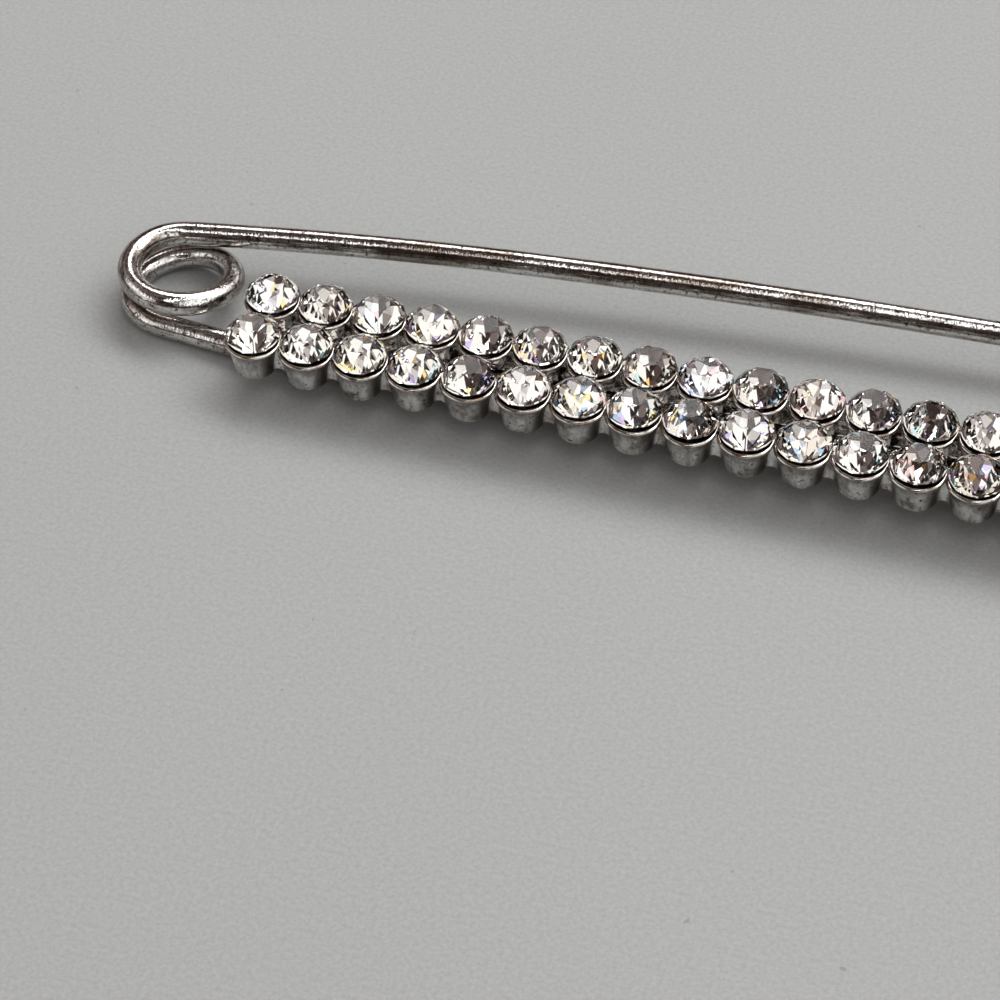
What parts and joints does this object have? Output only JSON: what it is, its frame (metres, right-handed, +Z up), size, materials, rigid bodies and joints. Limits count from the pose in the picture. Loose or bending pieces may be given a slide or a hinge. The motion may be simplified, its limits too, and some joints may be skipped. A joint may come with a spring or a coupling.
{
  "type": "safety pin brooch",
  "caption": "Coiled wire safety pin brooch lying closed, its lower wire carrying a cast bar of cups with two rows of clear round cut stones, and a plain head.",
  "frame": {"origin": "middle of the brooch's footprint, on the surface that it lies on", "axes": "+X from the coil to the head, +Y from the stones to the opening arm, +Z up, out of the stones"},
  "size_m": [0.0888, 0.022, 0.0066],
  "materials": {
    "wire": "worn polished plating",
    "setting": "dull cast metal, darkened in its hollows",
    "head": "worn plating",
    "stone": "clear cut glass with a foiled back"
  },
  "bodies": {
    "bar": {"rail_wire": "wire", "coil_spring": "wire", "cup_setting": "setting", "head_clasp": "head", "stone_f01": "stone", "stone_f02": "stone", "stone_f03": "stone", "stone_f04": "stone", "stone_f05": "stone", "stone_f06": "stone", "stone_f07": "stone", "stone_f08": "stone", "stone_f09": "stone", "stone_f10": "stone", "stone_f11": "stone", "stone_f12": "stone", "stone_f13": "stone", "stone_f14": "stone", "stone_f15": "stone", "stone_f16": "stone", "stone_b01": "stone", "stone_b02": "stone", "stone_b03": "stone", "stone_b04": "stone", "stone_b05": "stone", "stone_b06": "stone", "stone_b07": "stone", "stone_b08": "stone", "stone_b09": "stone", "stone_b10": "stone", "stone_b11": "stone", "stone_b12": "stone", "stone_b13": "stone", "stone_b14": "stone", "stone_b15": "stone", "stone_b16": "stone"},
    "arm": {"pin_arm": "wire"}
  },
  "joints": [
    {"name": "pin_opens", "type": "hinge", "parent": "bar", "child": "arm", "pos_m": [-0.03975, -0.00215, 0.0034], "axis": [0, 0, 1], "range_deg": [0, 25], "deforming": ["coil_spring"]}
  ]
}
